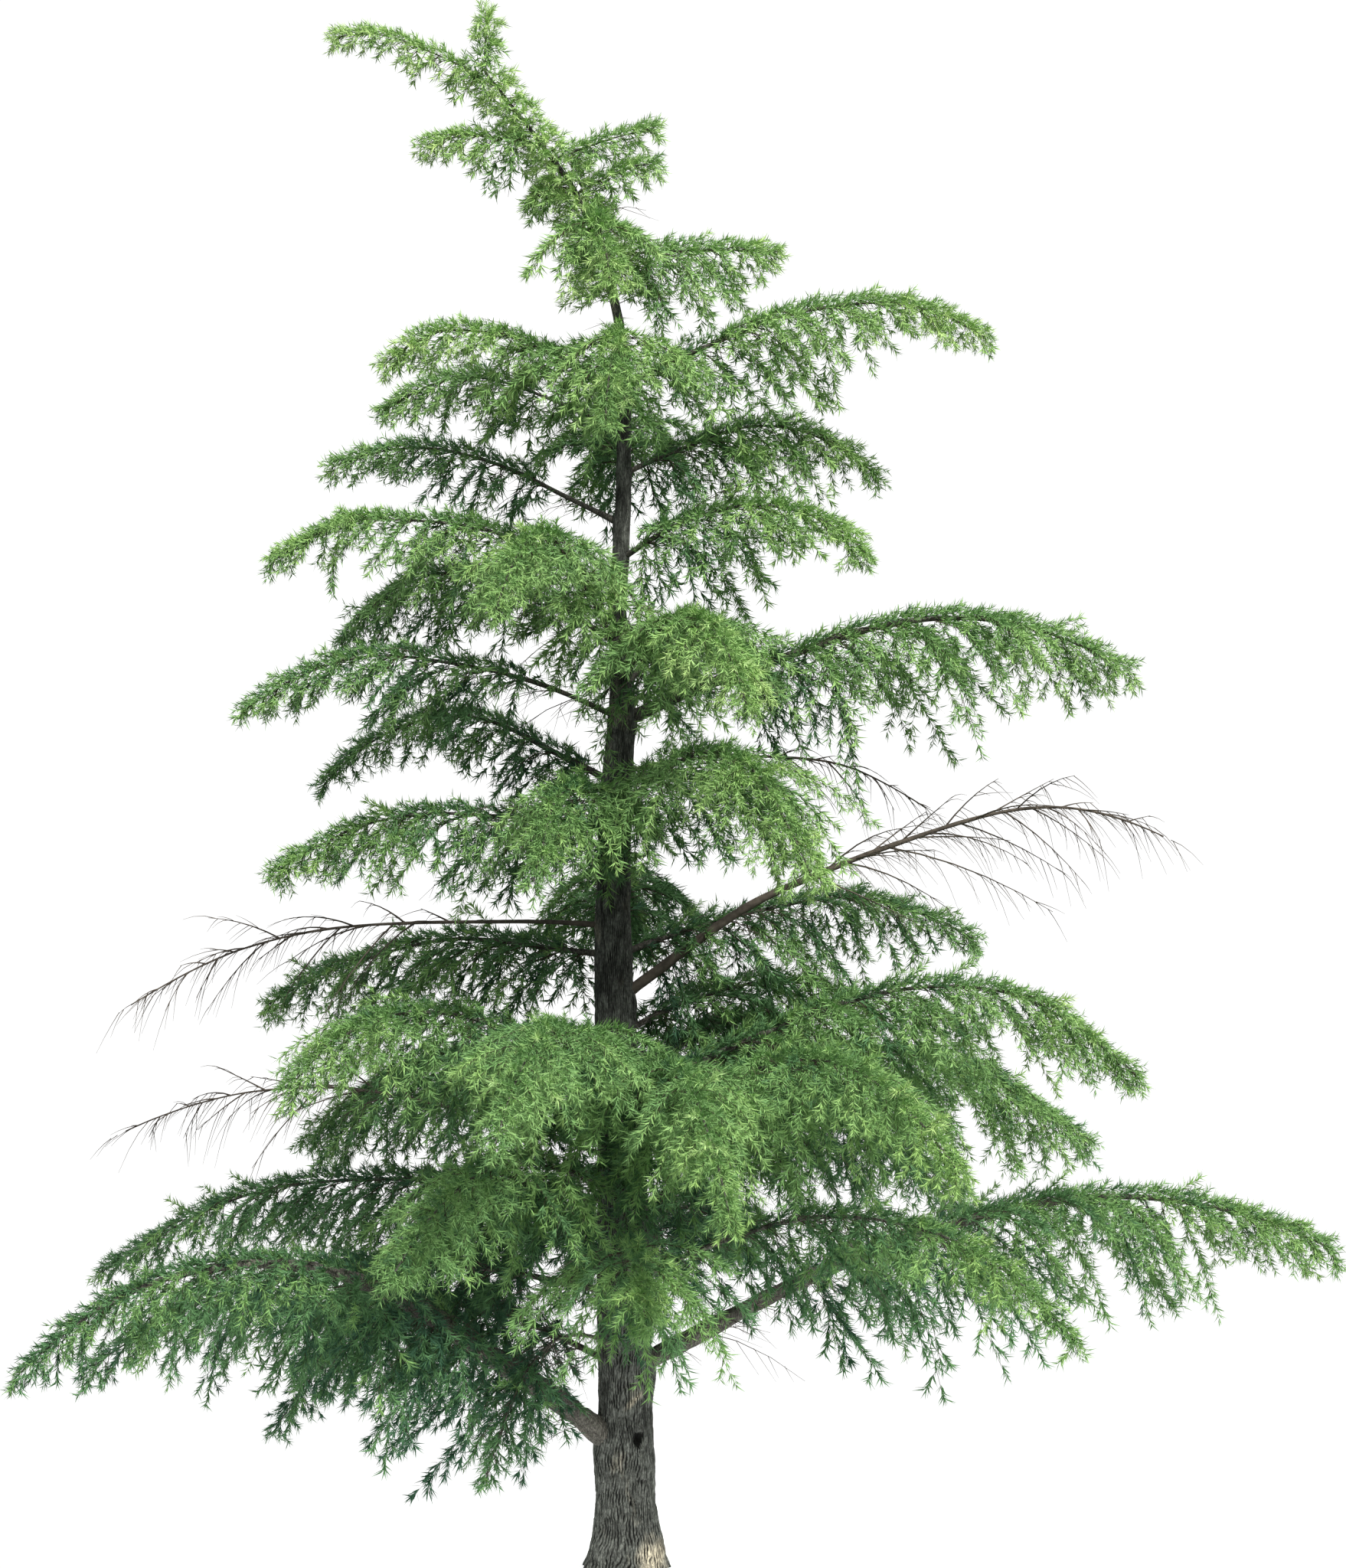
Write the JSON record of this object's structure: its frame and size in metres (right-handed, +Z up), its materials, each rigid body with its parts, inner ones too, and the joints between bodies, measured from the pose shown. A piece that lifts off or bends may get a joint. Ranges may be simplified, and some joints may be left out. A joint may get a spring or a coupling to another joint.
{
  "type": "cedar tree",
  "caption": "Open-grown cedar tree with a flared trunk, arching boughs of weeping needle sprays, a few dead limbs and a leaning top.",
  "frame": {"origin": "middle of the flat cut under the trunk, at ground level", "axes": "+Z up the tree, -Y towards the viewer of the picture, +X to the picture's right"},
  "size_m": [7.505, 6.2, 9],
  "materials": {
    "bark": "rough furrowed bark",
    "dead_wood": "weathered bare twigs",
    "needles": "matt green needle foliage"
  },
  "bodies": {
    "root": {"bough_dead_right": "bark", "bough_low_left": "bark", "bough_low_right": "bark", "bough_right_fifth": "bark", "foliage_back_fifth": "needles", "foliage_back_seventh": "needles", "foliage_back_shade": "needles", "foliage_front_eighth": "needles", "foliage_front_fifth": "needles", "foliage_front_fourth": "needles", "foliage_front_ninth": "needles", "foliage_front_sixth": "needles", "foliage_leader": "needles", "foliage_left_eighth": "needles", "foliage_left_eighth_low": "needles", "foliage_left_fifth": "needles", "foliage_left_fifth_low": "needles", "foliage_left_fourth": "needles", "foliage_left_ninth": "needles", "foliage_left_seventh": "needles", "foliage_left_shade": "needles", "foliage_left_sixth": "needles", "foliage_left_sixth_low": "needles", "foliage_left_tenth": "needles", "foliage_left_top": "needles", "foliage_low_back_left": "needles", "foliage_low_back_right": "needles", "foliage_low_front": "needles", "foliage_low_left": "needles", "foliage_low_left_back": "needles", "foliage_low_left_fan": "needles", "foliage_low_left_front": "needles", "foliage_low_left_hang": "needles", "foliage_low_left_weep": "needles", "foliage_low_right": "needles", "foliage_low_right_back": "needles", "foliage_low_right_front": "needles", "foliage_mid_back_left": "needles", "foliage_mid_back_right": "needles", "foliage_mid_front": "needles", "foliage_mid_front_right": "needles", "foliage_mid_left_front": "needles", "foliage_mid_right": "needles", "foliage_mid_right_front": "needles", "foliage_mid_right_low": "needles", "foliage_right_eighth": "needles", "foliage_right_fifth": "needles", "foliage_right_fourth": "needles", "foliage_right_ninth": "needles", "foliage_right_seventh": "needles", "foliage_right_shade": "needles", "foliage_right_sixth": "needles", "foliage_right_tenth": "needles", "foliage_right_third": "needles", "foliage_right_top": "needles", "trunk": "bark", "twigs_dead_left": "dead_wood", "twigs_dead_left_low": "dead_wood", "twigs_dead_right": "dead_wood", "twigs_dead_right_high": "dead_wood"}
  },
  "joints": []
}
